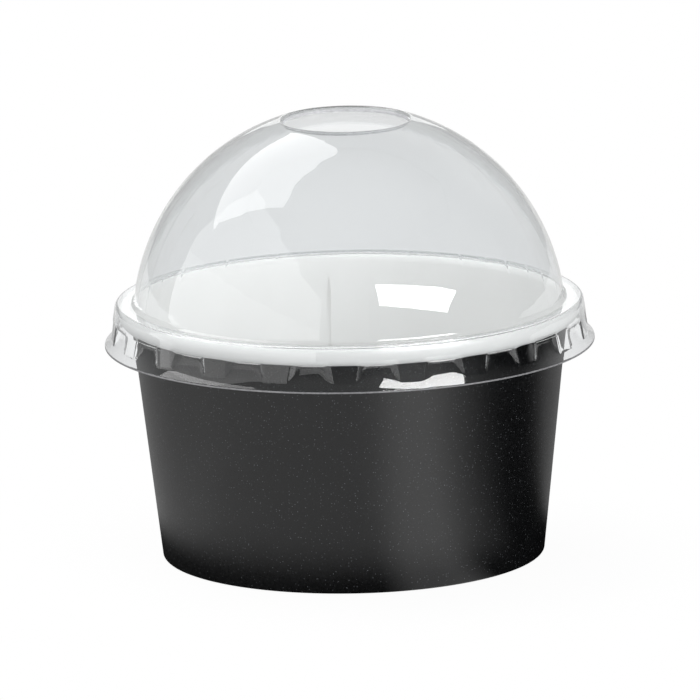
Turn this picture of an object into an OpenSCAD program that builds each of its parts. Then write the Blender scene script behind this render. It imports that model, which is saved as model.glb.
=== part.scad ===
// Paper dessert cup with a clear dome lid.
// The cup is a tapered paper wall with a rolled rim, closed below by a recessed paper disc.
// The lid is one thermoformed sheet: a dome with an open hole, a flange that sits over the
// rolled rim, and a skirt whose panels are pressed in between a ring of lugs.
// The origin is the centre of the foot, +Z is up, and lengths are millimetres.

/* [Cup] */
// Outside diameter of the foot
foot_d = 77.4; // [74:0.2:80]
// Inside diameter of the mouth at the middle of the rolled rim
mouth_d = 87.8; // [80:0.2:96]
// Overall height of the cup to the top of the rolled rim
cup_h = 51.8; // [46:0.2:60]
// Thickness of the paper board of the wall
paper_t = 0.4; // [0.3:0.02:0.44]

/* [Rolled rim] */
// Width of the roll, from the mouth out to the outside of the rim
roll_w = 2.6; // [2.3:0.05:3.2]
// Height of the roll
roll_h = 3.6; // [3.2:0.1:4]

/* [Base] */
// Height of the top face of the base disc above the table
base_z = 7; // [5:0.5:10]
// Thickness of the paper board of the base
base_t = 0.34; // [0.26:0.02:0.4]
// Gap on each side of the base skirt where it is trapped in the wall's fold
glue_gap = 0.04; // [0.02:0.01:0.06]
// Gap between the top of the wall's fold and the base disc
fold_gap = 1.2; // [0.8:0.1:2]
// Radius of the turned corner of the base disc
base_corner_r = 0.9; // [0.6:0.1:1.4]

/* [Side seam] */
// Width of the overlap where the two ends of the wall are joined
seam_w = 8; // [5:0.5:12]

/* [Lid sheet] */
// Thickness of the clear sheet
lid_t = 0.35; // [0.25:0.01:0.4]
// Gap between the top of the rolled rim and the underside of the flange
rim_gap = 0.12; // [0.08:0.02:0.3]
// Gap between the side of the rolled rim and the inside of the skirt at its top
side_gap = 0.6; // [0.4:0.05:0.8]

/* [Dome] */
// Distance from the outside of the rolled rim in to the sphere that the dome is part of
dome_inset = 2.7; // [2.5:0.05:3.3]
// Depth of the sphere's centre below the top of the flange
dome_sink = 4.7; // [3:0.1:8]
// Radius of the inside corner between the dome and the flange
foot_fillet_r = 1; // [0.6:0.05:1.2]

/* [Hole] */
// Diameter of the open hole at the top of the dome
hole_d = 25.4; // [20:0.2:32]
// Width of the lip that turns in from the dome to the hole
lip_w = 0.9; // [0.8:0.05:1.4]
// Outside radius of the lip's bend
lip_r = 0.55; // [0.5:0.05:0.7]
// Slope of the lip down to the hole
lip_slope = 50; // [40:1:60]

/* [Skirt] */
// Height of the whole skirt, from the top of the flange to the cut edge
skirt_h = 8.8; // [8:0.1:10]
// Draft of the skirt's wall
skirt_draft = 8; // [6:0.5:9]
// Radius of the shoulder between the flange and the skirt
shoulder_r = 1; // [0.8:0.05:1.2]
// Height of the brim below the feet of the lugs
brim_h = 1.65; // [1.4:0.05:2.6]
// Distance that the cut edge of the brim stands out from the line of the skirt's wall
brim_w = 1; // [0.8:0.05:1.5]

/* [Lugs] */
// Number of lugs around the skirt
lug_n = 22; // [15:1:24]
// Width of a lug's outer face
lug_w = 5.4; // [4:0.1:6.5]
// Distance that each side of a lug splays out at its root
lug_splay = 1.2; // [0.8:0.1:1.5]
// Height of the ledge above each pressed-in panel
ledge_h = 0.6; // [0.4:0.05:0.9]
// Height of the ledge's foot above the underside of the roll
ledge_rise = 0.1; // [0:0.05:0.9]
// Gap between the pressed-in panels and the side of the rolled rim
snap_gap = 0.15; // [0.1:0.01:0.3]
// Turn of the first lug from the front of the cup
lug_turn = -1.6; // [-8:0.1:8]

/* [Hidden] */
$fn = 96;
bend_n = 12;
fillet_n = 6;
curl_n = 28;
flare_n = 6;
brim_n = 4;
step_n = 4;
dome_n = 20;
cut = 1;

// The wall of the cup: a straight taper from the foot to the roll
rim_d = mouth_d + 2 * roll_w;
roll_a = roll_w / 2;
roll_b = roll_h / 2;
roll_z = cup_h - roll_b;
roll_r = rim_d / 2 - roll_a;
wall_slope = (mouth_d / 2 + paper_t - foot_d / 2) / roll_z;
fold_r = 0.25;
fold_z = paper_t / 2 + fold_r;
curl_gap = 0.1;
seam_top = cup_h - roll_h - curl_gap;

// The lid: the sphere, the bends and the skirt follow from the rim that the lid sits on
flange_z = cup_h + rim_gap + lid_t;
dome_r = rim_d / 2 - dome_inset;
dome_z = flange_z - dome_sink;
sheet_w = lid_t / cos(skirt_draft);
skirt_r = rim_d / 2 + side_gap + sheet_w;
skirt_top_z = flange_z - shoulder_r * (1 - sin(skirt_draft));
edge_z = flange_z - skirt_h;
brim_z = edge_z + brim_h;
panel_r = rim_d / 2 + snap_gap + sheet_w;
panel_z = cup_h - roll_h + ledge_rise;
ledge_z = panel_z + ledge_h;
lug_pitch = 360 / lug_n;

function outside_r(z) = foot_d / 2 + wall_slope * z;
function skirt_wall_r(z) = skirt_r + (skirt_top_z - z) * tan(skirt_draft);
function polar(a) = [cos(a), sin(a)];
function arc(c, r, a0, a1, n) = [for (i = [0:n]) c + r * polar(a0 + (a1 - a0) * i / n)];
function shifted(points, d) = [for (p = points) p + d];
function reversed(points) = [for (i = [len(points) - 1:-1:0]) points[i]];

// Left-hand normal of a path at point i, long enough to keep the sheet's thickness at a bend
function unit(v) = v / norm(v);
function left_of(v) = [-v[1], v[0]];
function path_normal(p, i) =
    i == 0 ? left_of(unit(p[1] - p[0])) :
    i == len(p) - 1 ? left_of(unit(p[i] - p[i - 1])) :
    let (a = left_of(unit(p[i] - p[i - 1])), b = left_of(unit(p[i + 1] - p[i])))
    (a + b) / (1 + a * b);
function beside(p, d) = [for (i = [0:len(p) - 1]) p[i] + d * path_normal(p, i)];

// Cross-section of a sheet of thickness t, whose middle follows the path p
module sheet_section(p, t) {
    polygon(concat(beside(p, t / 2), reversed(beside(p, -t / 2))));
}

// Middle of the paper wall: up the inner leg of the fold at the foot, up the side, round the roll
trap_w = base_t + 2 * glue_gap + paper_t;
leg_top = base_z - base_t - fold_gap;
function wall_mid_r(z) = outside_r(z) - paper_t / 2;
function leg_mid_r(z) = wall_mid_r(z) - trap_w;
curl_a = roll_a - paper_t / 2;
curl_b = roll_b - paper_t / 2;
tucked_a = curl_a - paper_t - curl_gap;
curl_start = 180 - atan(wall_slope * curl_b / curl_a);
curl_end = -195;
function curl_point(a) = [roll_r + (a > -90 ? curl_a : tucked_a) * cos(a), roll_z + curl_b * sin(a)];
wall_path = concat(
    [[leg_mid_r(leg_top), leg_top]],
    arc([leg_mid_r(fold_z) + fold_r, fold_z], fold_r, 180, 270, 3),
    arc([wall_mid_r(fold_z) - fold_r, fold_z], fold_r, 270, 360, 3),
    [for (i = [0:curl_n]) curl_point(curl_start + (curl_end - curl_start) * i / curl_n)]
);

// Overlap of the wall's two ends, a second layer of board down the back
module side_seam() {
    seam_a = 2 * asin(seam_w / foot_d);
    rotate([0, 0, 90 - seam_a / 2])
        rotate_extrude(angle = seam_a)
            polygon([
                [wall_mid_r(fold_z), fold_z],
                [outside_r(fold_z) + paper_t, fold_z],
                [outside_r(seam_top) + paper_t, seam_top],
                [wall_mid_r(seam_top), seam_top]
            ]);
}

module cup_wall() {
    color("#2b2d2e")
        union() {
            rotate_extrude() sheet_section(wall_path, paper_t);
            side_seam();
        }
}

// Recessed base: a flat disc whose turned-down skirt is trapped in the fold of the wall
module cup_base() {
    disc_z = base_z - base_t / 2;
    skirt_end_z = paper_t + glue_gap;
    function base_skirt_r(z) = wall_mid_r(z) - trap_w / 2;
    corner_r = base_corner_r - base_t / 2;
    corner_z = disc_z - corner_r;
    base_path = concat(
        [[0, disc_z]],
        arc([base_skirt_r(corner_z) - corner_r, corner_z], corner_r, 90, 0, 5),
        [[base_skirt_r(skirt_end_z), skirt_end_z]]
    );
    color("#f4f4f2")
        rotate_extrude() sheet_section(base_path, base_t);
}

// Outer face of the lid from the hole down to the cut edge, one list per stretch
lip_dome_a = acos((hole_d / 2 + lip_w) / dome_r);
lip_c = [0, dome_z] + (dome_r - lip_r) * [cos(lip_dome_a), sin(lip_dome_a)];
lip_end_a = 90 + lip_slope;
fillet_z = flange_z + foot_fillet_r;
fillet_a = asin((fillet_z - dome_z) / (dome_r + foot_fillet_r));
fillet_c = [0, dome_z] + (dome_r + foot_fillet_r) * [cos(fillet_a), sin(fillet_a)];
shoulder_c = [skirt_r - shoulder_r * cos(skirt_draft), flange_z - shoulder_r];

// The same stretch on the outside (inset 0) or on the inside (inset lid_t)
function lip_points(inset) =
    let (bend = arc(lip_c, lip_r - inset, lip_end_a, lip_dome_a, bend_n),
         run = bend[0][0] - hole_d / 2)
    concat([[hole_d / 2, bend[0][1] - run * tan(lip_slope)]], bend);
function dome_points(inset) =
    let (a = arc([0, dome_z], dome_r - inset, lip_dome_a, fillet_a, dome_n))
    [for (i = [1:dome_n]) a[i]];
function flange_points(inset) = concat(
    [for (i = [1:fillet_n]) arc(fillet_c, foot_fillet_r + inset, 180 + fillet_a, 270, fillet_n)[i]],
    arc(shoulder_c, shoulder_r - inset, 90, skirt_draft, fillet_n)
);

// Pressed-in panel: a soft step under the roll, then one flare that passes through the feet of
// the lugs and ends at the brim, where the sheet is trimmed upright
brim_top = [skirt_wall_r(brim_z), brim_z];
edge_r = skirt_wall_r(edge_z) + brim_w;
flare_reach = edge_r + sheet_w - panel_r;
lug_foot_u = (panel_z - brim_z) / (panel_z - edge_z);
flare_curve = ln((brim_top[0] - panel_r) / flare_reach) / ln(lug_foot_u);
trim_u = pow((edge_r - panel_r) / flare_reach, 1 / flare_curve);
function soft_step(u) = u * u * (3 - 2 * u);
function flare_point(u) = [panel_r + flare_reach * pow(u, flare_curve), panel_z + (edge_z - panel_z) * u];
function panel_points() = concat(
    [for (i = [0:step_n - 1])
        [skirt_wall_r(ledge_z) + (panel_r - skirt_wall_r(ledge_z)) * soft_step(i / step_n),
         ledge_z + (panel_z - ledge_z) * i / step_n]],
    [for (i = [0:flare_n]) flare_point(lug_foot_u * i / flare_n)]
);
function brim_points(last_u) =
    [for (i = [1:brim_n]) flare_point(lug_foot_u + (last_u - lug_foot_u) * i / brim_n)];

module lid_section() {
    outside = concat(panel_points(), brim_points(trim_u));
    inside = shifted(concat(panel_points(), brim_points(1)), [-sheet_w, 0]);
    outer = concat(lip_points(0), dome_points(0), flange_points(0), outside);
    inner = concat(lip_points(lid_t), dome_points(lid_t), flange_points(lid_t), inside);
    polygon(concat(outer, reversed(inner)));
}

// Section between the panel's face and the skirt's wall, moved in by inset
module lug_section(inset) {
    wall = [[skirt_wall_r(ledge_z), ledge_z], brim_top];
    panel = shifted(panel_points(), [-sheet_w / 2, 0]);
    polygon(shifted(concat(wall, reversed(panel)), [-inset, 0]));
}

module lug_void_section() {
    core_r = roll_r;
    polygon([
        [skirt_wall_r(ledge_z) - sheet_w, ledge_z],
        [brim_top[0] - sheet_w, brim_z],
        [core_r, brim_z],
        [core_r, ledge_z]
    ]);
}

// Plan of one lug seen from above, narrowed on each side by inset
module lug_plan(inset) {
    face_r = skirt_wall_r((ledge_z + brim_z) / 2);
    depth = face_r - panel_r;
    function half_w(r) = lug_w / 2 - inset + lug_splay * (face_r - r) / depth;
    r0 = panel_r - 2 * sheet_w;
    r1 = face_r + depth;
    polygon([[r0, -half_w(r0)], [r1, -half_w(r1)], [r1, half_w(r1)], [r0, half_w(r0)]]);
}

module lug_ring(inset) {
    z0 = brim_z - cut;
    z1 = ledge_z + cut;
    for (i = [0:lug_n - 1])
        rotate([0, 0, -90 + lug_turn + i * lug_pitch])
            translate([0, 0, z0])
                linear_extrude(z1 - z0) lug_plan(inset);
}

module dome_lid() {
    depth = skirt_wall_r((ledge_z + brim_z) / 2) - panel_r;
    side_inset = lid_t * norm([1, lug_splay / depth]);
    color("#dfe6ea", 0.35)
        difference() {
            union() {
                rotate_extrude() lid_section();
                intersection() {
                    rotate_extrude() lug_section(0);
                    lug_ring(0);
                }
            }
            intersection() {
                rotate_extrude() lug_void_section();
                lug_ring(side_inset);
            }
        }
}

cup_wall();
cup_base();
dome_lid();
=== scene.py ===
"""Looks of the paper dessert cup: a printed paper cup with a white rolled rim, under a clear dome lid."""

import math

import bpy
import numpy as np
from mathutils import Matrix, Vector


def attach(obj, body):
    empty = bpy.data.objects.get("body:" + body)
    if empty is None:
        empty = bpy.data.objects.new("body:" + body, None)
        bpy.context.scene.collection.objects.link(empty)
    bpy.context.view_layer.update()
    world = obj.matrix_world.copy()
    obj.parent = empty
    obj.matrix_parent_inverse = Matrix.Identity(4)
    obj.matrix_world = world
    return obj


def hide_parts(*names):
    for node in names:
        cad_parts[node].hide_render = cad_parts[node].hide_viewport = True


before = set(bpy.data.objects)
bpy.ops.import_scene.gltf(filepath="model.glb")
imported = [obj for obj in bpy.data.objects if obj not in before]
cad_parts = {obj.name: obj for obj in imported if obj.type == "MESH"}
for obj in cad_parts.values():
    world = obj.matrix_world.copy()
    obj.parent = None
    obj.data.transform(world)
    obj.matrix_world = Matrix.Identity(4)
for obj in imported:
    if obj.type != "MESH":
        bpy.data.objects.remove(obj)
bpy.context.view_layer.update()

MM = 0.001

# Sizes of the cup in millimetres, the same as the solids'
FOOT_R = 38.7
MOUTH_R = 43.9
CUP_H = 51.8
PAPER_T = 0.4
ROLL_W, ROLL_H = 2.6, 3.6
BASE_Z, BASE_T = 7.0, 0.34
GLUE_GAP, FOLD_GAP, FOLD_R = 0.04, 1.2, 0.25
CURL_GAP, CURL_END = 0.1, -195
SEAM_W = 8.0

# Sizes of the lid in millimetres, the same as the solids'
LID_T = 0.35
RIM_GAP, SIDE_GAP, SNAP_GAP = 0.12, 0.6, 0.15
DOME_INSET, DOME_SINK, FOOT_FILLET_R = 2.7, 4.7, 1.0
HOLE_R, LIP_W, LIP_R, LIP_SLOPE = 12.7, 0.9, 0.55, 50.0
SKIRT_H, SKIRT_DRAFT, SHOULDER_R = 8.8, math.radians(8), 1.0
BRIM_H, BRIM_W = 1.65, 1.0
LUG_N, LUG_W, LUG_SPLAY, LUG_TURN = 22, 5.4, 1.2, -1.6
LEDGE_H, LEDGE_RISE = 0.6, 0.1

# What follows from them
RIM_R = MOUTH_R + ROLL_W
ROLL_Z, ROLL_R = CUP_H - ROLL_H / 2, RIM_R - ROLL_W / 2
WALL_SLOPE = (MOUTH_R + PAPER_T - FOOT_R) / ROLL_Z
FOLD_Z = PAPER_T / 2 + FOLD_R
SEAM_TOP = CUP_H - ROLL_H - CURL_GAP
TRAP_W = BASE_T + 2 * GLUE_GAP + PAPER_T
FLANGE_Z = CUP_H + RIM_GAP + LID_T
DOME_R = RIM_R - DOME_INSET
DOME_Z = FLANGE_Z - DOME_SINK
SHEET_W = LID_T / math.cos(SKIRT_DRAFT)
SKIRT_R = RIM_R + SIDE_GAP + SHEET_W
SKIRT_TOP_Z = FLANGE_Z - SHOULDER_R * (1 - math.sin(SKIRT_DRAFT))
EDGE_Z = FLANGE_Z - SKIRT_H
BRIM_Z = EDGE_Z + BRIM_H
PANEL_R = RIM_R + SNAP_GAP + SHEET_W
PANEL_Z = CUP_H - ROLL_H + LEDGE_RISE
LEDGE_Z = PANEL_Z + LEDGE_H


def skirt_wall_r(z):
    return SKIRT_R + (SKIRT_TOP_Z - z) * math.tan(SKIRT_DRAFT)


# The flare of the skirt from the panel out to the trimmed edge
EDGE_R = skirt_wall_r(EDGE_Z) + BRIM_W
FLARE_REACH = EDGE_R + SHEET_W - PANEL_R
LUG_FOOT_U = (PANEL_Z - BRIM_Z) / (PANEL_Z - EDGE_Z)
FLARE_CURVE = math.log((skirt_wall_r(BRIM_Z) - PANEL_R) / FLARE_REACH) / math.log(LUG_FOOT_U)
TRIM_U = ((EDGE_R - PANEL_R) / FLARE_REACH) ** (1 / FLARE_CURVE)

# The corners of a lug
FACE_R = skirt_wall_r((LEDGE_Z + BRIM_Z) / 2)
LUG_DEPTH = FACE_R - PANEL_R
SPLAY = LUG_SPLAY / LUG_DEPTH


# Sections and meshes


def arc(centre, radius, start, end, n):
    """Points of an arc in the section's plane, angles in degrees."""
    a = np.radians(np.linspace(start, end, n + 1))
    return np.column_stack([centre[0] + radius * np.cos(a), centre[1] + radius * np.sin(a)])


def beside(path, distance):
    """The path moved sideways by distance, to its left."""
    step = np.diff(path, axis=0)
    step /= np.linalg.norm(step, axis=1)[:, None]
    left = np.column_stack([-step[:, 1], step[:, 0]])
    before = np.vstack([left[:1], left])
    after = np.vstack([left, left[-1:]])
    both = before + after
    normal = both / (1 + (before * after).sum(1))[:, None]
    return path + distance * normal


def soft_step(u):
    return u * u * (3 - 2 * u)


def mesh_object(name, points, faces, materials, face_material, sharp=35):
    """A mesh in metres from points in millimetres, smooth apart from its sharp edges."""
    mesh = bpy.data.meshes.new(name)
    mesh.from_pydata((np.asarray(points) * MM).tolist(), [], faces)
    for material in materials:
        mesh.materials.append(material)
    mesh.polygons.foreach_set("material_index", face_material)
    mesh.polygons.foreach_set("use_smooth", [True] * len(mesh.polygons))
    mesh.validate()
    mesh.set_sharp_from_angle(angle=math.radians(sharp))
    obj = bpy.data.objects.new(name, mesh)
    bpy.context.scene.collection.objects.link(obj)
    return obj


# Node materials


class Nodes:
    """Short calls for building the nodes of a material or of the world."""

    def __init__(self, owner, output="ShaderNodeOutputMaterial", coords="Object"):
        owner.use_nodes = True
        self.owner = owner
        self.tree = owner.node_tree
        self.tree.nodes.clear()
        self.output = self.add(output)
        self.coords = self.add("ShaderNodeTexCoord").outputs[coords]

    def add(self, kind, **settings):
        node = self.tree.nodes.new(kind)
        for key, value in settings.items():
            setattr(node, key, value)
        return node

    def link(self, source, target):
        self.tree.links.new(source, target)

    def put(self, node, name, value):
        if isinstance(value, bpy.types.NodeSocket):
            self.link(value, node.inputs[name])
        else:
            node.inputs[name].default_value = value

    def noise(self, scale, detail, roughness=0.5):
        node = self.add("ShaderNodeTexNoise")
        self.link(self.coords, node.inputs["Vector"])
        node.inputs["Scale"].default_value = scale
        node.inputs["Detail"].default_value = detail
        node.inputs["Roughness"].default_value = roughness
        return node.outputs["Fac"]

    def span(self, value, low, high, to_low, to_high, smooth=False):
        node = self.add("ShaderNodeMapRange")
        if smooth:
            node.interpolation_type = "SMOOTHSTEP"
        self.put(node, "Value", value)
        for key, number in (("From Min", low), ("From Max", high), ("To Min", to_low), ("To Max", to_high)):
            self.put(node, key, number)
        return node.outputs["Result"]

    def math(self, operation, a, b):
        node = self.add("ShaderNodeMath", operation=operation)
        self.put(node, 0, a)
        self.put(node, 1, b)
        return node.outputs[0]

    def profile(self, value, stops):
        """A smooth curve through (place, height) stops."""
        low, high = stops[0][0], stops[-1][0]
        top = max(height for _, height in stops)
        ramp = self.add("ShaderNodeValToRGB")
        self.link(self.span(value, low, high, 0, 1), ramp.inputs["Fac"])
        elements = ramp.color_ramp.elements
        while len(elements) < len(stops):
            elements.new(0.5)
        for element, (place, height) in zip(elements, stops):
            element.position = (place - low) / (high - low)
            element.color = (height / top, height / top, height / top, 1)
        return self.math("MULTIPLY", ramp.outputs["Color"], top)

    def mix(self, factor, a, b):
        node = self.add("ShaderNodeMix", data_type="RGBA")
        self.put(node, 0, factor)
        self.put(node, 6, a)
        self.put(node, 7, b)
        return node.outputs[2]

    def bump(self, height, distance, strength):
        node = self.add("ShaderNodeBump")
        self.put(node, "Height", height)
        self.put(node, "Distance", distance)
        self.put(node, "Strength", strength)
        return node.outputs["Normal"]

    def principled(self, **values):
        node = self.add("ShaderNodeBsdfPrincipled")
        for key, value in values.items():
            self.put(node, key.replace("_", " "), value)
        return node.outputs[0]

    def blend(self, factor, a, b):
        """A mix of two shaders."""
        node = self.add("ShaderNodeMixShader")
        for socket, source in zip(node.inputs, (factor, a, b)):
            self.link(source, socket)
        return node.outputs[0]

    def finish(self, shader):
        self.link(shader, self.output.inputs["Surface"])
        return self.owner

    def ray_kinds(self):
        """Two masks: rays that see the place directly or through the lid, and rays that mirror it.

        Rays that the sheet has mirrored more than once on their way through it count as seen.
        """
        path = self.add("ShaderNodeLightPath")
        through = path.outputs["Is Transmission Ray"]
        depth = path.outputs["Glossy Depth"]
        turned = self.math("GREATER_THAN", depth, 0.5)
        once = self.math("MULTIPLY", turned, self.math("LESS_THAN", depth, 1.5))
        through_once = self.math("MULTIPLY", through, once)
        through_plain = self.math("MULTIPLY", through, self.math("SUBTRACT", 1.0, once))
        seen = self.math("MAXIMUM", path.outputs["Is Camera Ray"], through_plain)
        mirrored = self.math("MAXIMUM", path.outputs["Is Glossy Ray"], through_once)
        return seen, mirrored

    def azimuth(self, x, y):
        """Degrees from the front towards the right."""
        turn = self.math("ARCTAN2", x, self.math("MULTIPLY", y, -1.0))
        return self.math("MULTIPLY", turn, 180 / math.pi)


def material_nodes(name):
    return Nodes(bpy.data.materials.new(name))


def scaled_tone(colour, share):
    return tuple(share * c for c in colour[:3]) + (1,)


def printed_board():
    """Matte black print on board: fine grain, faint mottling and a sprinkling of light specks."""
    n = material_nodes("printed_board")
    mottle = n.noise(160, 3)
    grain = n.noise(2600, 2, 0.6)
    base = n.mix(n.span(mottle, 0.35, 0.65, 0, 1), (0.0022, 0.0023, 0.0026, 1), (0.0034, 0.0036, 0.004, 1))
    grained = n.mix(n.span(grain, 0.5, 0.72, 0, 0.5), base, (0.009, 0.0095, 0.0103, 1))
    cells = n.add("ShaderNodeTexVoronoi", feature="F1")
    n.link(n.coords, cells.inputs["Vector"])
    n.put(cells, "Scale", 1900.0)
    picked = n.add("ShaderNodeSeparateColor")
    n.link(cells.outputs["Color"], picked.inputs[0])
    dot = n.math("LESS_THAN", cells.outputs["Distance"], 0.17)
    rare = n.span(picked.outputs[0], 0.25, 1.0, 0, 0.65)
    speck = n.math("MULTIPLY", dot, rare)
    colour = n.mix(speck, grained, (0.19, 0.2, 0.215, 1))
    height = n.math("ADD", n.noise(900, 3), n.math("MULTIPLY", grain, 0.4))
    return n.finish(n.principled(
        Base_Color=colour,
        Roughness=n.span(grain, 0.3, 0.7, 0.26, 0.36),
        Normal=n.bump(height, 0.00002, 0.5),
        Specular_IOR_Level=0.5,
    ))


def white_board(name, colour, roughness):
    """Bleached board with soft fibres."""
    n = material_nodes(name)
    fibres = n.noise(700, 4, 0.6)
    cloud = n.noise(60, 2)
    clouded = n.mix(n.span(cloud, 0.3, 0.7, 0, 1), colour, scaled_tone(colour, 0.965))
    return n.finish(n.principled(
        Base_Color=n.mix(n.span(fibres, 0.45, 0.75, 0, 0.25), clouded, scaled_tone(colour, 0.93)),
        Roughness=n.span(fibres, 0.3, 0.7, roughness - 0.05, roughness + 0.06),
        Normal=n.bump(fibres, 0.000015, 0.5),
    ))


def clear_sheet():
    """Thermoformed clear sheet, slightly wavy.

    Light from lamps and matt surfaces passes straight through it, and so do rays that it has mirrored
    more than once.
    """
    n = material_nodes("clear_sheet")
    waves = n.noise(45, 2, 0.45)
    haze = n.noise(300, 2)
    glass = n.principled(
        Base_Color=(0.885, 0.898, 0.905, 1),
        Roughness=n.span(haze, 0.3, 0.7, 0.0, 0.03),
        IOR=1.5,
        Transmission_Weight=1.0,
        Normal=n.bump(waves, 0.0004, 0.25),
    )
    path = n.add("ShaderNodeLightPath")
    light = n.math("MAXIMUM", path.outputs["Is Shadow Ray"], path.outputs["Is Diffuse Ray"])
    trapped = n.math("GREATER_THAN", path.outputs["Glossy Depth"], 1.5)
    straight = n.math("MAXIMUM", light, trapped)
    through = n.add("ShaderNodeBsdfTransparent")
    through.inputs["Color"].default_value = (0.985, 0.99, 0.99, 1)
    return n.finish(n.blend(straight, glass, through.outputs[0]))


def cut_edge(name, colour):
    """Trimmed edge of the sheet: an opaque grey, painted shade for how refraction darkens a clear cut edge.
    """
    n = material_nodes(name)
    grain = n.noise(1400, 2)
    return n.finish(n.principled(
        Base_Color=n.mix(n.span(grain, 0.35, 0.65, 0, 1), scaled_tone(colour, 0.85), scaled_tone(colour, 1.15)),
        Roughness=n.span(grain, 0.3, 0.7, 0.3, 0.45),
    ))


# The cup

# Radius at which the seam is SEAM_W wide, and the lengths over which its step fades out
SEAM_R = FOOT_R + 3
SEAM_EASE, SEAM_FADE = 9.0, 4.0
# Steps along the board's section, and columns round the cup away from the seam
FOLD_STEPS, SIDE_STEPS, CURL_STEPS, TUCK_STEPS = 6, 21, 44, 17
PLAIN_COLUMNS = 180


def cup_section():
    """The board's two faces as one closed ring of points, with what each stretch shows.

    The third list says which points the seam can push out: 1 on the print's side, 2 on the white side.
    """
    wall_mid = FOOT_R + WALL_SLOPE * FOLD_Z - PAPER_T / 2
    leg_mid = wall_mid - TRAP_W
    leg_top = BASE_Z - BASE_T - FOLD_GAP
    curl_a, curl_b = (ROLL_W - PAPER_T) / 2, (ROLL_H - PAPER_T) / 2
    tucked_a = curl_a - PAPER_T - CURL_GAP
    start = 180 - math.degrees(math.atan(WALL_SLOPE * curl_b / curl_a))
    round_top, tuck = np.linspace(start, -90, CURL_STEPS + 1), np.linspace(-90, CURL_END, TUCK_STEPS + 1)
    turn = np.radians(np.concatenate([round_top, tuck[1:]]))
    half = np.where(turn > -math.pi / 2, curl_a, tucked_a)
    curl = np.column_stack([ROLL_R + half * np.cos(turn), ROLL_Z + curl_b * np.sin(turn)])
    foot = arc((wall_mid - FOLD_R, FOLD_Z), FOLD_R, 270, 360, FOLD_STEPS)
    side = foot[-1] + (curl[0] - foot[-1]) * np.linspace(0, 1, SIDE_STEPS + 1)[1:-1, None]
    leg = np.array([[leg_mid, leg_top], [leg_mid, leg_top * 0.5]])
    heel = arc((leg_mid + FOLD_R, FOLD_Z), FOLD_R, 180, 270, FOLD_STEPS)
    path = np.vstack([leg, heel, foot, side, curl])
    printed, inner = beside(path, -PAPER_T / 2), beside(path, PAPER_T / 2)
    ring = np.vstack([printed, inner[::-1]])
    n = len(path)
    shows = ["print"] * (n - 1) + ["edge"] + ["white"] * (n - 1) + ["edge"]
    lift = np.zeros(len(ring))
    first = len(leg) + len(heel) + len(foot)
    last = first + len(side)
    lift[first:last] = 1
    lift[2 * n - last:2 * n - first] = 2
    return ring, shows, lift


def seam_columns():
    """Angles of the columns round the cup, with how far each side of the board is pushed out there.

    The seam is at the back. The outer end of the blank ends in a cut edge, the inner end lies under it.
    The last value says at which column each side of the board has its cut edge.
    """
    half = SEAM_W / 2 / SEAM_R
    ease = SEAM_EASE / SEAM_R
    back = math.pi / 2
    a_cut, b_cut = back - half, back + half
    angles, outer, inner = [], [], []

    def column(a, o, i):
        angles.append(a)
        outer.append(o)
        inner.append(i)

    column(a_cut, 0, 0)
    cuts = {"print": len(angles) - 1}
    column(a_cut, PAPER_T, 0)
    for t in np.linspace(0.2, 0.8, 4):
        column(a_cut + t * (b_cut - a_cut), PAPER_T, 0)
    column(b_cut, PAPER_T, 0)
    cuts["white"] = len(angles) - 1
    column(b_cut, PAPER_T, PAPER_T)
    for t in np.linspace(0.1, 1, 10):
        push = PAPER_T * (1 - soft_step(t))
        column(b_cut + t * ease, push, push)
    for t in np.linspace(0, 1, PLAIN_COLUMNS + 2)[1:-1]:
        column(b_cut + ease + t * (2 * math.pi - ease - 2 * half), 0, 0)
    return np.array(angles), np.array(outer), np.array(inner), cuts


def build_cup_wall():
    ring, shows, lift = cup_section()
    angles, outer, inner, cuts = seam_columns()
    rows, columns = len(ring), len(angles)
    height = ring[:, 1]
    fade = np.clip((SEAM_TOP - height) / SEAM_FADE, 0, 1)
    points = np.zeros((rows, columns, 3))
    for k in range(columns):
        push = np.where(lift == 1, outer[k], np.where(lift == 2, inner[k], 0)) * fade
        radius = ring[:, 0] + push
        points[:, k] = np.column_stack([radius * math.cos(angles[k]), radius * math.sin(angles[k]), height])
    index = {"print": 0, "white": 1, "edge": 2}
    faces, face_material = [], []
    for i in range(rows):
        j = (i + 1) % rows
        for k in range(columns):
            m = (k + 1) % columns
            faces.append((i * columns + k, i * columns + m, j * columns + m, j * columns + k))
            stepped = (lift[i] or lift[j]) and cuts.get(shows[i]) == k
            face_material.append(index["edge" if stepped else shows[i]])
    return mesh_object(
        "printed_cup_wall",
        points.reshape(-1, 3),
        faces,
        [
            printed_board(),
            white_board("coated_board", (0.9, 0.9, 0.893, 1), 0.42),
            white_board("board_edge", (0.74, 0.73, 0.70, 1), 0.8),
        ],
        face_material,
    )


# The lid

# Rounding of a lug's outer corners and of its roots on the outer face, swapped on the inner face
CORNER_ROUND, ROOT_ROUND = 0.34, 0.16
# Steps along the lid's section, from the hole down to the cut edge
LIP_STEPS, DOME_STEPS, FILLET_STEPS, SHOULDER_STEPS = 24, 46, 28, 14
WALL_STEPS, LEDGE_STEPS, PANEL_STEPS, BRIM_STEPS = 3, 7, 11, 10
# Every third column of the skirt goes on up the dome
DOME_STRIDE = 3


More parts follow.
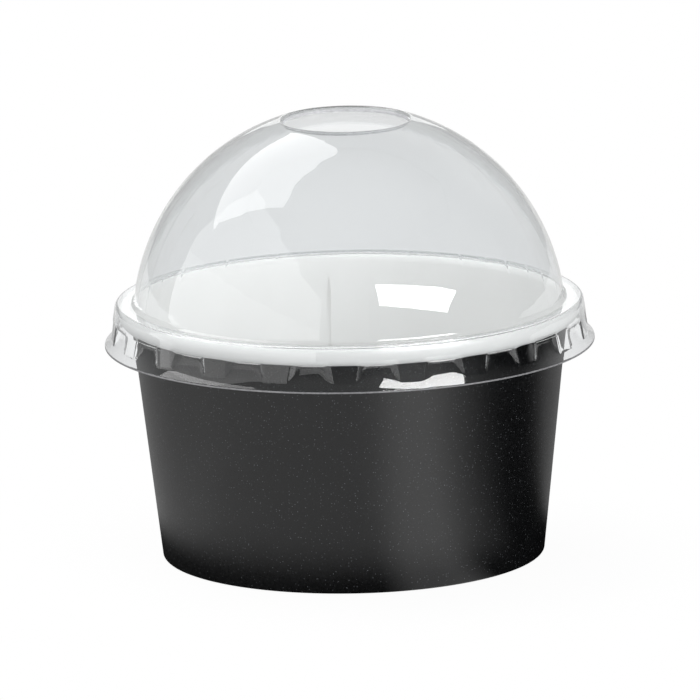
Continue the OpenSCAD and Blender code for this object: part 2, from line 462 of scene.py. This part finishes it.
def lid_top(inset):
    """Section of the lid from the hole's edge to the middle of the flange, inset into the sheet."""
    lip_a = math.degrees(math.acos((HOLE_R + LIP_W) / DOME_R))
    lip_dir = np.array([math.cos(math.radians(lip_a)), math.sin(math.radians(lip_a))])
    lip_c = np.array([0, DOME_Z]) + (DOME_R - LIP_R) * lip_dir
    bend = arc(lip_c, LIP_R - inset, 90 + LIP_SLOPE, lip_a, LIP_STEPS)
    run = bend[0, 0] - HOLE_R
    end = [HOLE_R, bend[0, 1] - run * math.tan(math.radians(LIP_SLOPE))]
    fillet_a = math.degrees(math.asin((FLANGE_Z + FOOT_FILLET_R - DOME_Z) / (DOME_R + FOOT_FILLET_R)))
    fillet_dir = np.array([math.cos(math.radians(fillet_a)), math.sin(math.radians(fillet_a))])
    fillet_c = np.array([0, DOME_Z]) + (DOME_R + FOOT_FILLET_R) * fillet_dir
    dome = arc((0, DOME_Z), DOME_R - inset, lip_a, fillet_a, DOME_STEPS)
    fillet = arc(fillet_c, FOOT_FILLET_R + inset, 180 + fillet_a, 270, FILLET_STEPS)
    middle = [[(fillet_c[0] + SKIRT_R - SHOULDER_R) / 2, FLANGE_Z - inset]]
    return np.vstack([[end], bend, dome[1:], fillet[1:], middle])


def flare_point(u):
    """Height and radius of the flare's outer face, u from 0 at the panel to 1 below the cut edge."""
    return PANEL_Z + (EDGE_Z - PANEL_Z) * u, PANEL_R + FLARE_REACH * u ** FLARE_CURVE


def lid_rows(inset):
    """Rows of the skirt: (z, radius at the lugs, radius at the panels)."""
    shoulder_c = (SKIRT_R - SHOULDER_R * math.cos(SKIRT_DRAFT), FLANGE_Z - SHOULDER_R)
    shoulder = arc(shoulder_c, SHOULDER_R - inset, 90, math.degrees(SKIRT_DRAFT), SHOULDER_STEPS)
    below = []
    for z in np.linspace(SKIRT_TOP_Z, LEDGE_Z, WALL_STEPS + 1)[1:-1]:
        below.append((z, skirt_wall_r(z), skirt_wall_r(z)))
    ledge_r = skirt_wall_r(LEDGE_Z)
    for u in np.linspace(0, 1, LEDGE_STEPS + 1)[:-1]:
        z = LEDGE_Z + (PANEL_Z - LEDGE_Z) * u
        below.append((z, skirt_wall_r(z), ledge_r + (PANEL_R - ledge_r) * soft_step(u)))
    for u in np.linspace(0, LUG_FOOT_U, PANEL_STEPS + 1):
        z, flare = flare_point(u)
        below.append((z, skirt_wall_r(z), flare))
    for u in np.linspace(LUG_FOOT_U, 1 if inset else TRIM_U, BRIM_STEPS + 1)[1:]:
        z, flare = flare_point(u)
        below.append((z, flare, flare))
    shift = SHEET_W if inset else 0.0
    return [(z, r, r) for r, z in shoulder] + [(z, lug - shift, panel - shift) for z, lug, panel in below]


def smooth_min(a, b, k):
    h = max(k - abs(a - b), 0) / k
    return min(a, b) - h * h * k / 4


def smooth_max(a, b, k):
    return -smooth_min(-a, -b, k)


def lug_half_w(radius, inset):
    """Half the width of a lug at a radius, inset into the sheet."""
    return LUG_W / 2 - inset * math.hypot(1, SPLAY) + SPLAY * (FACE_R - radius)


def lug_places(z, panel, inset):
    """Columns from the middle of a lug to the middle of a panel, in mm along FACE_R."""
    wall = skirt_wall_r(min(max(z, BRIM_Z), LEDGE_Z)) - (SHEET_W if inset else 0.0)
    root_r = min(panel, wall) if BRIM_Z < z < LEDGE_Z else wall
    corner = lug_half_w(wall, inset)
    root = max(lug_half_w(root_r, inset), corner + CORNER_ROUND)
    e = min(ROOT_ROUND, (root - corner) / 4)
    end = math.pi / LUG_N * FACE_R
    gap = end - root - e
    return [
        0, 0.45 * (corner - e), 0.8 * (corner - e), corner - e, corner, corner + e,
        (corner + root) / 2, root - e, root, root + e, root + e + 0.3 * gap, root + e + 0.65 * gap, end,
    ]


def lug_radius(angle, wall, panel, inset):
    """Radius of the skirt between ledge and brim, at an angle from the middle of a lug."""
    corner_round, root_round = (ROOT_ROUND, CORNER_ROUND) if inset else (CORNER_ROUND, ROOT_ROUND)
    side = lug_half_w(0, inset) / (math.sin(angle) + SPLAY * math.cos(angle))
    return max(smooth_min(wall, smooth_max(panel, side, root_round), corner_round), panel)


def skirt_layer(inset):
    """Points of one face of the skirt. The columns follow the corners of the lugs."""
    layer = []
    for z, wall, panel in lid_rows(inset):
        half = []
        for place in lug_places(z, panel, inset):
            angle = place / FACE_R
            lugged = BRIM_Z < z < LEDGE_Z
            half.append((angle, lug_radius(angle, wall, panel, inset) if lugged else wall))
        pitch = [(-a, r) for a, r in half[:0:-1]] + half[:-1]
        ring = []
        for lug in range(LUG_N):
            centre = math.radians(-90 + LUG_TURN + lug * 360 / LUG_N)
            ring += [(r * math.cos(centre + a), r * math.sin(centre + a), z) for a, r in pitch]
        layer.append(ring)
    return np.array(layer)


def band(a, b, count):
    """Faces between two rings of count points each, which start at the indices a and b."""
    return [(a + k, b + k, b + (k + 1) % count, a + (k + 1) % count) for k in range(count)]


def lid_layer(inset, first_index):
    """One face of the whole lid: points, faces, and the rows of indices at the hole and at the cut edge."""
    skirt = skirt_layer(inset)
    fine = skirt.shape[1]
    coarse = fine // DOME_STRIDE
    angles = np.arctan2(skirt[0, ::DOME_STRIDE, 1], skirt[0, ::DOME_STRIDE, 0])
    section = lid_top(inset)
    top = np.zeros((len(section), coarse, 3))
    for i, (r, z) in enumerate(section):
        top[i] = np.column_stack([r * np.cos(angles), r * np.sin(angles), np.full(coarse, z)])
    points = np.vstack([top.reshape(-1, 3), skirt.reshape(-1, 3)])
    base = first_index + len(section) * coarse
    faces = []
    for i in range(len(section) - 1):
        faces += band(first_index + i * coarse, first_index + (i + 1) * coarse, coarse)
    last = first_index + (len(section) - 1) * coarse
    for k in range(coarse):
        run = [base + (k * DOME_STRIDE + s) % fine for s in range(DOME_STRIDE + 1)]
        faces.append((last + k, *run, last + (k + 1) % coarse))
    for i in range(skirt.shape[0] - 1):
        faces += band(base + i * fine, base + (i + 1) * fine, fine)
    hole = [first_index + k for k in range(coarse)]
    edge = [base + (skirt.shape[0] - 1) * fine + k for k in range(fine)]
    return points, faces, hole, edge


def build_lid():
    """Both faces of the sheet, joined by a cut face round the hole and one round the brim."""
    outer, outer_faces, outer_hole, outer_edge = lid_layer(0.0, 0)
    inner, inner_faces, inner_hole, inner_edge = lid_layer(LID_T, len(outer))
    faces = outer_faces + [f[::-1] for f in inner_faces]
    sheet_faces = len(faces)
    for a, b, flip in ((outer_hole, inner_hole, True), (outer_edge, inner_edge, False)):
        for k in range(len(a)):
            m = (k + 1) % len(a)
            face = (a[k], b[k], b[m], a[m])
            faces.append(face[::-1] if flip else face)
    points = np.vstack([outer, inner])
    face_material = [0] * sheet_faces + [1] * len(outer_hole) + [2] * len(outer_edge)
    materials = [
        clear_sheet(),
        # Painted shade: the same cut edge in a light grey round the hole and a dark grey round the brim
        cut_edge("hole_edge_painted_shade", (0.6, 0.6, 0.624, 1)),
        cut_edge("brim_edge_painted_shade", (0.225, 0.225, 0.234, 1)),
    ]
    return mesh_object("clear_dome_lid", points, faces, materials, face_material, sharp=50)


# Stage, lamps and camera


def painted_floor_in_mirrors(n, distance):
    """How bright a reflection shows the floor: a glow with studio light and shade painted into it.

    It carries a painted shadow round the foot and another on the right of the cup, a painted pool of light
    between that shadow and the front, and is pale again far behind.
    """
    place = n.add("ShaderNodeSeparateXYZ")
    n.link(n.coords, place.inputs[0])
    azimuth = n.azimuth(place.outputs["X"], place.outputs["Y"])
    # Painted shadow round the foot
    painted_foot_shadow = n.span(distance, *FOOT_FADE, FOOT_PAINTED_SHADOW, 1, smooth=True)
    around_cup = n.math("MULTIPLY", n.profile(azimuth, FLOOR_BY_AZIMUTH), painted_foot_shadow)
    in_front = n.math("ADD", around_cup, n.profile(azimuth, FLOOR_PAINTED_LIGHT))
    far = n.span(distance, *BEHIND_DISTANCE, 0, FLOOR_BEHIND, smooth=True)
    back = n.span(place.outputs["Y"], *BEHIND_Y, 0, 1, smooth=True)
    return n.math("MAXIMUM", in_front, n.math("MULTIPLY", far, back))


def floor_material():
    """Plain white to the eye, apart from the cup's shadow near its foot, and clear from below."""
    n = material_nodes("pale_floor")
    length = n.add("ShaderNodeVectorMath", operation="LENGTH")
    n.link(n.coords, length.inputs[0])
    distance = length.outputs["Value"]
    seen, mirrored = n.ray_kinds()
    lit = n.add("ShaderNodeBsdfDiffuse")
    n.link(n.math("MAXIMUM", n.math("MULTIPLY", seen, FLOOR_SEEN), FLOOR_BOUNCE), lit.inputs["Color"])
    glow = n.add("ShaderNodeEmission")
    # Reflections see the floor as a glow with painted light and shade
    shown = n.math("MULTIPLY", mirrored, painted_floor_in_mirrors(n, distance))
    n.link(n.math("MAXIMUM", seen, shown), glow.inputs["Strength"])
    plain = n.span(distance, *SHADOW_FADE, FLOOR_GLOW, 1, smooth=True)
    share = n.math("MAXIMUM", n.math("MULTIPLY", seen, plain), mirrored)
    above = n.blend(share, lit.outputs[0], glow.outputs[0])
    clear = n.add("ShaderNodeBsdfTransparent")
    below = n.add("ShaderNodeNewGeometry").outputs["Backfacing"]
    return n.finish(n.blend(below, above, clear.outputs[0]))


def build_floor():
    """A ring, open under the cup so that the base is lit in views from below."""
    corners = []
    for radius in (FLOOR_HOLE_R, FLOOR_R):
        for turn in np.radians(np.arange(0, 360, 360 / FLOOR_SIDES)):
            corners.append((radius * math.cos(turn), radius * math.sin(turn), 0))
    mesh = bpy.data.meshes.new("floor")
    mesh.from_pydata(corners, [], band(0, FLOOR_SIDES, FLOOR_SIDES))
    mesh.materials.append(floor_material())
    floor = bpy.data.objects.new("floor", mesh)
    floor.location = (0, 0, -FLOOR_GAP)
    bpy.context.scene.collection.objects.link(floor)


def build_world():
    """White behind everything that is seen directly or through the lid.

    Reflections show a studio: dark in front, black on the right, pale at the back and dim overhead.
    """
    world = bpy.data.worlds.new("studio")
    n = Nodes(world, "ShaderNodeOutputWorld", "Generated")
    direction = n.add("ShaderNodeSeparateXYZ")
    n.link(n.coords, direction.inputs[0])
    up = direction.outputs["Z"]
    walls = n.profile(n.azimuth(direction.outputs["X"], direction.outputs["Y"]), STUDIO_BY_AZIMUTH)
    ceiling = n.span(up, *CEILING_FADE, 0, 1, smooth=True)
    walls_share = n.math("MULTIPLY", walls, n.math("SUBTRACT", 1.0, ceiling))
    studio = n.math("ADD", walls_share, n.math("MULTIPLY", ceiling, STUDIO_TOP))
    seen, mirrored = n.ray_kinds()
    soft = n.math("MULTIPLY", n.math("SUBTRACT", 1.0, mirrored), AMBIENT)
    strength = n.math("ADD", n.math("MULTIPLY", mirrored, studio), soft)
    background = n.add("ShaderNodeBackground")
    background.inputs["Color"].default_value = (1, 1, 1, 1)
    n.link(n.math("MAXIMUM", strength, seen), background.inputs["Strength"])
    n.finish(background.outputs[0])
    bpy.context.scene.world = world


def panel(name, place, target, width, height, radiance, turn=0.0, mirrored=True, lights=True):
    """A rectangular soft box that faces its target, as bright as radiance.

    It shows in reflections if mirrored, and lights matt surfaces if lights is set.
    """
    lamp = bpy.data.lights.new(name, "AREA")
    lamp.shape = "RECTANGLE"
    lamp.size, lamp.size_y = width, height
    lamp.energy = radiance * math.pi * width * height
    obj = bpy.data.objects.new(name, lamp)
    facing = (Vector(target) - Vector(place)).to_track_quat("-Z", "Y").to_matrix().to_4x4()
    obj.matrix_world = Matrix.Translation(place) @ facing @ Matrix.Rotation(math.radians(turn), 4, "Z")
    obj.visible_camera = False
    obj.visible_transmission = False
    obj.visible_glossy = mirrored
    obj.visible_diffuse = lights
    bpy.context.scene.collection.objects.link(obj)


def around(azimuth, elevation, distance):
    """A point at a distance from the aim: azimuth from the front towards the right, elevation above level."""
    a, e = math.radians(azimuth), math.radians(elevation)
    return (
        distance * math.sin(a) * math.cos(e),
        -distance * math.cos(a) * math.cos(e),
        distance * math.sin(e) + AIM.z,
    )


def build_camera():
    """The photograph's camera, rolled a little because the photograph shows the cup so."""
    elevation, roll = math.radians(CAMERA_ELEVATION), math.radians(CAMERA_ROLL)
    back = Vector((0, -math.cos(elevation), math.sin(elevation)))
    right, up = Vector((1, 0, 0)), Vector((0, math.sin(elevation), math.cos(elevation)))
    turned_right = right * math.cos(roll) - up * math.sin(roll)
    turned_up = up * math.cos(roll) + right * math.sin(roll)
    data = bpy.data.cameras.new("camera")
    data.sensor_width = 36.0
    data.lens = data.sensor_width * PIXELS_PER_METRE * CAMERA_DISTANCE / IMAGE_W
    data.clip_end = 20
    camera = bpy.data.objects.new("camera", data)
    rotation = Matrix((turned_right, turned_up, back)).transposed().to_4x4()
    camera.matrix_world = Matrix.Translation(AIM + back * CAMERA_DISTANCE) @ rotation
    bpy.context.scene.collection.objects.link(camera)
    bpy.context.scene.camera = camera


# Camera, fitted to the outlines of the cup in the photograph
AIM = Vector((0.0, 0, 0.04146))
CAMERA_ELEVATION = 12.44
CAMERA_ROLL = 1.15
CAMERA_DISTANCE = 2.5
PIXELS_PER_METRE = 4940
IMAGE_W = 700

# Floor in metres: the ring, and the distances over which the shadow fades to plain white
FLOOR_HOLE_R, FLOOR_R, FLOOR_SIDES, FLOOR_GAP = 0.037, 1.6, 64, 0.0002
SHADOW_FADE = (0.045, 0.1)
FLOOR_GLOW = 0.95
# How pale it is to the eye, and how much light it throws back on the object
FLOOR_SEEN, FLOOR_BOUNCE = 0.9, 0.45

# Floor and studio as reflections show them, as (degrees from the front towards the right, brightness)
# In reflections the floor is a painted glow; its dark band on the right of the cup is a painted shadow
FLOOR_BY_AZIMUTH = (
    (-180, 0.3), (-125, 0.4), (-100, 0.55), (-73, 0.85), (0, 0.8), (50, 0.8),
    (62, 0.3), (74, 0.0), (104, 0.0), (118, 0.3), (180, 0.3),
)
# A painted pool of light on the floor in front, right of the middle
FLOOR_PAINTED_LIGHT = ((9, 0.0), (20, 0.8), (37, 0.9), (50, 0.0))
# A painted shadow round the foot: how dark, and over which distances it fades out
FOOT_PAINTED_SHADOW, FOOT_FADE = 0.02, (0.0435, 0.0635)
# Painted light: the floor pale again far behind, and where that starts
FLOOR_BEHIND, BEHIND_DISTANCE, BEHIND_Y = 0.7, (0.16, 0.3), (0.08, 0.16)
STUDIO_BY_AZIMUTH = (
    (-180, 0.5), (-150, 0.4), (-115, 0.15), (-80, 0.04), (58, 0.03),
    (72, 0.0), (112, 0.0), (135, 0.4), (180, 0.5),
)
STUDIO_TOP, CEILING_FADE = 0.12, (0.5, 0.8)

# Brightness of the soft light from all round
AMBIENT = 0.83

wall = build_cup_wall()
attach(wall, "cup")
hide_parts("cup_wall")

lid = build_lid()
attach(lid, "lid")
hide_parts("dome_lid")

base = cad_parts["cup_base"]
base.data.materials.clear()
base.data.materials.append(white_board("base_board", (0.86, 0.86, 0.85, 1), 0.55))

build_floor()
build_world()

# The overhead box shows in reflections and lights the cup, the front fill only lights it, and the rest
# only show in reflections
panel("left_wall_low", (-1.0, -1.5, 0.2), (0, -1.5, 0.2), 3.8, 0.5, 1.8, lights=False)
panel("left_wall_high", (-1.0, -1.5, 0.975), (0, -1.5, 0.975), 3.8, 1.05, 1.25, lights=False)
panel("back_strip", (0, 2.5, 0.55), (0, 0, 0.55), 0.9, 0.45, 1.0, lights=False)
panel("overhead_box", (-0.362, 0.324, 0.825), (0.379, -0.073, 0.283), 0.76, 0.59, 3.2, turn=-18)
panel(
    "near_box", (0.0241, -0.0539, 0.0673), (0.0132, -0.0457, 0.0463), 0.0298, 0.0107, 18.0,
    turn=-27, lights=False,
)
panel("front_fill", around(40, 12, 1.5), AIM, 1.4, 1.0, 2.8, mirrored=False)

build_camera()

scene = bpy.context.scene
scene.view_settings.view_transform = "Standard"
